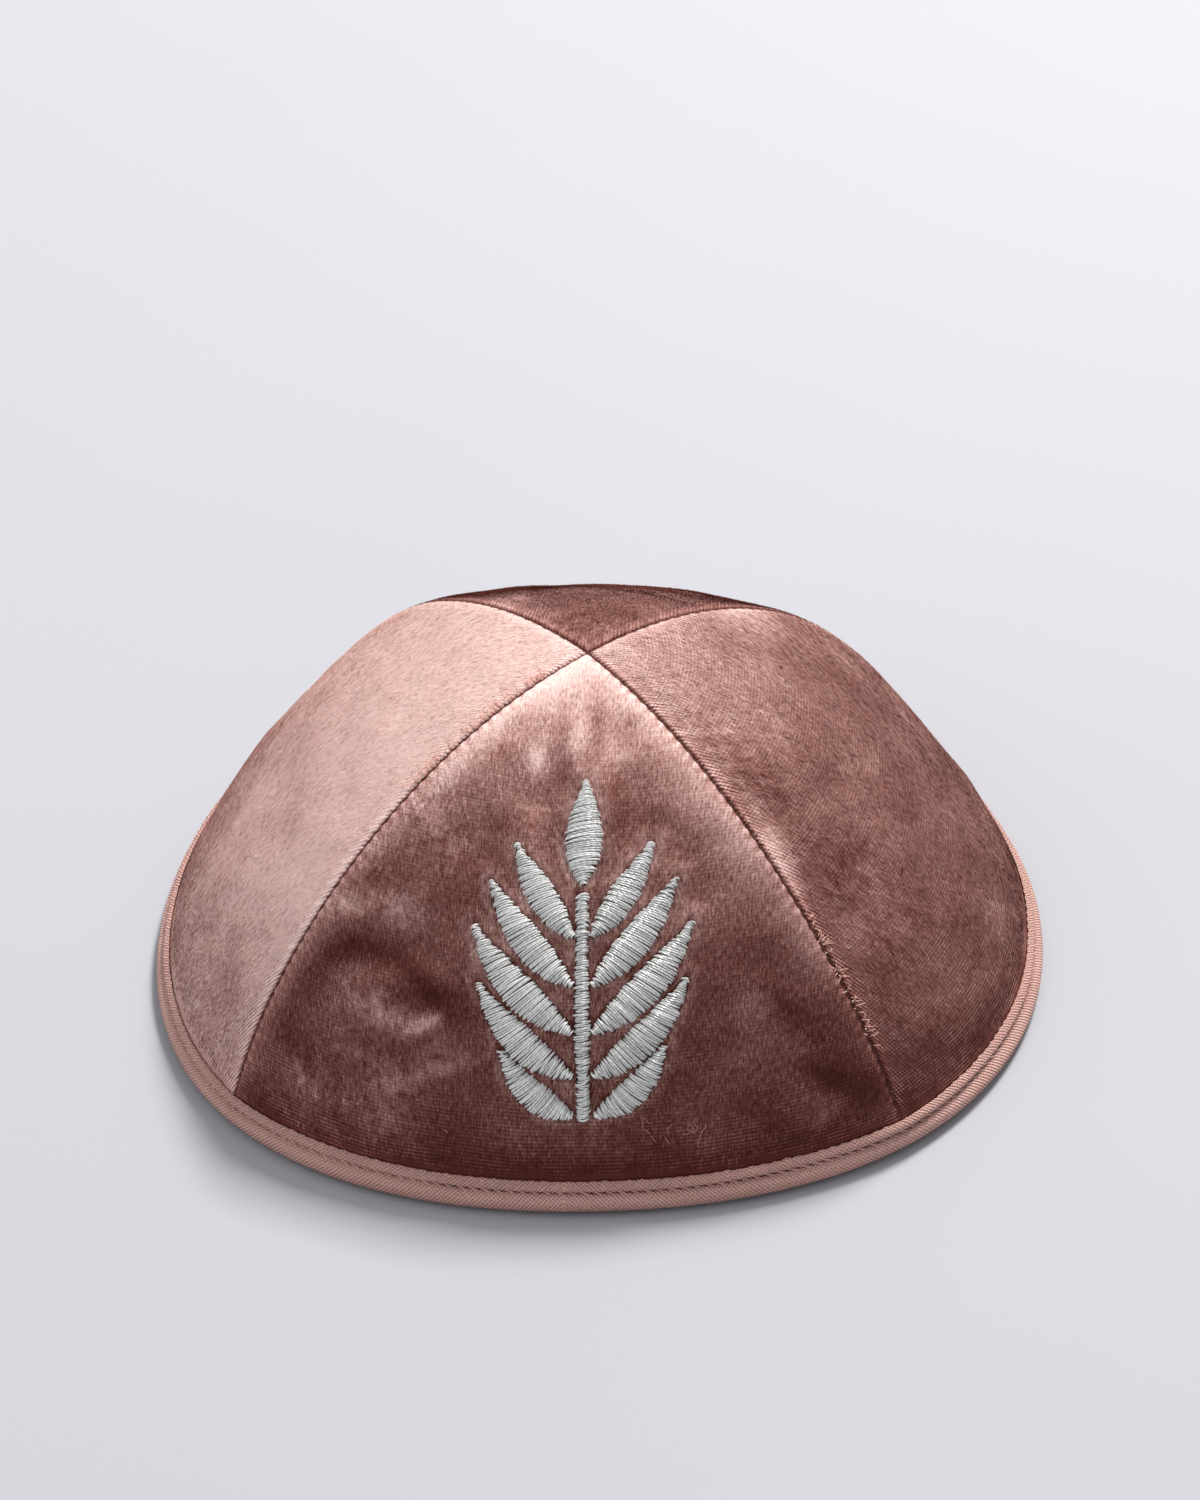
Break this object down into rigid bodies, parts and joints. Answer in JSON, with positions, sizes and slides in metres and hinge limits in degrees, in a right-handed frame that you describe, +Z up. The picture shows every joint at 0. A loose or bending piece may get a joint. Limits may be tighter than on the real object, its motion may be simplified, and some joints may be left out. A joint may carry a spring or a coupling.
{
  "type": "skullcap",
  "caption": "Round velvet skullcap of pointed gores that meet at the apex, with a stitched tape binding round its rim and a raised satin-stitched leaf sprig on the front gore.",
  "frame": {"origin": "on the surface that the rim rests on, under the middle of the box around the rim", "axes": "+Z up through the crown, -Y towards the front gore with the sprig, +X to the right seen from the front"},
  "size_m": [0.174, 0.1708, 0.0662],
  "materials": {
    "velvet": "cut pile",
    "twill": "matt",
    "thread": "satin"
  },
  "bodies": {
    "root": {"gore_front": "velvet", "gore_right": "velvet", "gore_back": "velvet", "gore_left": "velvet", "rim_binding": "twill", "sprig_stem": "thread", "sprig_top_leaf": "thread", "sprig_leaf_left_1": "thread", "sprig_leaf_left_2": "thread", "sprig_leaf_left_3": "thread", "sprig_leaf_left_4": "thread", "sprig_leaf_left_5": "thread", "sprig_leaf_right_1": "thread", "sprig_leaf_right_2": "thread", "sprig_leaf_right_3": "thread", "sprig_leaf_right_4": "thread", "sprig_leaf_right_5": "thread"}
  },
  "joints": []
}
